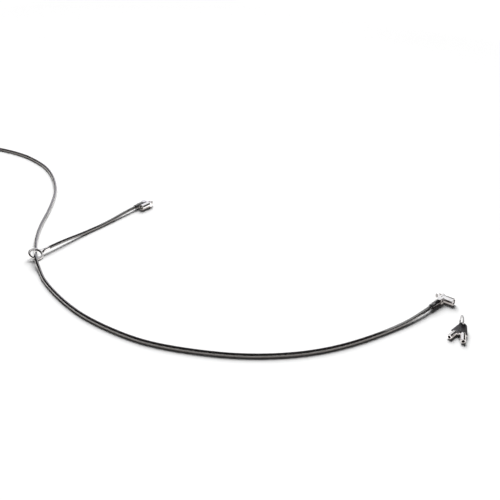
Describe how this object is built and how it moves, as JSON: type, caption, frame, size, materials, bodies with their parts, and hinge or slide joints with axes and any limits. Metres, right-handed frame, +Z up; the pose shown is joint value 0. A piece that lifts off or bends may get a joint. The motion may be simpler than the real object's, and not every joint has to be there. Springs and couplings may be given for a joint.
{
  "type": "laptop cable lock",
  "caption": "Jacketed steel security cable with a crimped eye, a swivelling slot lock head on its end, another head on a ringed tether, and tubular keys on a split ring.",
  "frame": {"origin": "centre of the laptop head's nose face, on the lock's axis", "axes": "+X from the laptop head's nose to its keyway, +Z up off the surface that the lock lies on"},
  "size_m": [1.1601, 0.377, 0.0177],
  "materials": {
    "polished_chrome": "polished",
    "inner_steel": "machined",
    "pin_brass": "turned",
    "spring_steel": "bright",
    "crimp_aluminium": "pressed",
    "boot_black": "glossy",
    "cable_jacket": "smoked clear vinyl over steel rope",
    "key_plastic": "moulded"
  },
  "bodies": {
    "main_cable": {"main_cable": "cable_jacket", "end_eye": "cable_jacket", "eye_sleeve": "crimp_aluminium", "laptop_cable_terminal": "inner_steel", "laptop_cable_boot": "boot_black"},
    "laptop_collar": {"laptop_swivel_collar": "polished_chrome", "laptop_hinge_pin": "polished_chrome"},
    "laptop_barrel": {"laptop_barrel_shell": "polished_chrome", "laptop_nose_plate": "polished_chrome", "laptop_guide_pins": "inner_steel", "laptop_thrust_washer": "pin_brass", "laptop_keyway_sleeve": "inner_steel", "laptop_stator": "pin_brass", "laptop_retaining_pin": "inner_steel", "laptop_pin_springs": "spring_steel"},
    "laptop_rotor": {"laptop_rotor": "inner_steel", "laptop_keyway_post": "inner_steel", "laptop_locking_tip": "inner_steel", "laptop_spindle_clip": "spring_steel"},
    "laptop_key_pins": {"laptop_key_pins": "pin_brass"},
    "laptop_driver_pins": {"laptop_driver_pins": "pin_brass"},
    "dock_collar": {"dock_swivel_collar": "polished_chrome", "dock_hinge_pin": "polished_chrome"},
    "dock_barrel": {"dock_barrel_shell": "polished_chrome", "dock_nose_plate": "polished_chrome", "dock_guide_pins": "inner_steel", "dock_thrust_washer": "pin_brass", "dock_keyway_sleeve": "inner_steel", "dock_stator": "pin_brass", "dock_retaining_pin": "inner_steel", "dock_pin_springs": "spring_steel"},
    "dock_rotor": {"dock_rotor": "inner_steel", "dock_keyway_post": "inner_steel", "dock_locking_tip": "inner_steel", "dock_spindle_clip": "spring_steel"},
    "dock_key_pins": {"dock_key_pins": "pin_brass"},
    "dock_driver_pins": {"dock_driver_pins": "pin_brass"},
    "coupling_ring": {"coupling_ring": "polished_chrome"},
    "tether": {"tether_cable": "cable_jacket", "ring_ferrule": "polished_chrome", "dock_cable_terminal": "inner_steel", "dock_cable_boot": "boot_black"},
    "split_ring": {"split_ring": "spring_steel"},
    "key_one": {"key_one_bow": "key_plastic", "key_one_shank": "polished_chrome"},
    "key_two": {"key_two_bow": "key_plastic", "key_two_shank": "polished_chrome"}
  },
  "joints": [
    {"name": "laptop_hinge", "type": "hinge", "parent": "main_cable", "child": "laptop_collar", "pos_m": [0.0068, -0.0105, 0], "axis": [0, 0, -1], "range_deg": [-90, 90]},
    {"name": "laptop_swivel", "type": "hinge", "parent": "laptop_collar", "child": "laptop_barrel", "pos_m": [0, 0, 0], "axis": [1, 0, 0], "continuous": true},
    {"name": "laptop_lock_turn", "type": "hinge", "parent": "laptop_barrel", "child": "laptop_rotor", "pos_m": [0, 0, 0], "axis": [1, 0, 0], "range_deg": [0, 90]},
    {"name": "laptop_pin_press", "type": "slide", "parent": "laptop_rotor", "child": "laptop_key_pins", "axis": [-1, 0, 0], "range_m": [0, 0.001], "stiffness_N_per_m": 10},
    {"name": "laptop_driver_press", "type": "slide", "parent": "laptop_barrel", "child": "laptop_driver_pins", "axis": [-1, 0, 0], "range_m": [0, 0.001], "stiffness_N_per_m": 10, "deforming": ["laptop_pin_springs"]},
    {"name": "ring_swing", "type": "hinge", "parent": "main_cable", "child": "coupling_ring", "pos_m": [-0.5386, -0.3079, 0.0015], "axis": [0, 0, 1], "range_deg": [-60, 5]},
    {"name": "tether_swivel", "type": "hinge", "parent": "coupling_ring", "child": "tether", "pos_m": [-0.5386, -0.3079, 0.0015], "axis": [-0.1219, 0.9925, 0], "continuous": true},
    {"name": "dock_hinge", "type": "hinge", "parent": "tether", "child": "dock_collar", "pos_m": [-0.5687, -0.05768, 0], "axis": [0, 0, 1], "range_deg": [0, 180]},
    {"name": "dock_swivel", "type": "hinge", "parent": "dock_collar", "child": "dock_barrel", "pos_m": [-0.5589, -0.0499, 0], "axis": [0.0958, -0.9954, 0], "continuous": true},
    {"name": "dock_lock_turn", "type": "hinge", "parent": "dock_barrel", "child": "dock_rotor", "pos_m": [-0.5589, -0.0499, 0], "axis": [0.0958, -0.9954, 0], "range_deg": [0, 90]},
    {"name": "dock_pin_press", "type": "slide", "parent": "dock_rotor", "child": "dock_key_pins", "axis": [-0.0958, 0.9954, 0], "range_m": [0, 0.001], "stiffness_N_per_m": 10},
    {"name": "dock_driver_press", "type": "slide", "parent": "dock_barrel", "child": "dock_driver_pins", "axis": [-0.0958, 0.9954, 0], "range_m": [0, 0.001], "stiffness_N_per_m": 10, "deforming": ["dock_pin_springs"]},
    {"name": "keys_lift", "type": "slide", "parent": "main_cable", "child": "split_ring", "axis": [0, 0, 1], "range_m": [0, 0.05]},
    {"name": "key_one_swing", "type": "hinge", "parent": "split_ring", "child": "key_one", "pos_m": [0.06294, -0.04903, -0.0017], "axis": [0, 0, -1], "range_deg": [0, 25]},
    {"name": "key_two_swing", "type": "hinge", "parent": "split_ring", "child": "key_two", "pos_m": [0.06535, -0.05115, 0.0023], "axis": [0, 0, 1], "range_deg": [0, 25]}
  ],
  "couplings": [
    {"joint": "laptop_driver_press", "follows": "laptop_pin_press", "ratio": 1},
    {"joint": "dock_driver_press", "follows": "dock_pin_press", "ratio": 1}
  ]
}
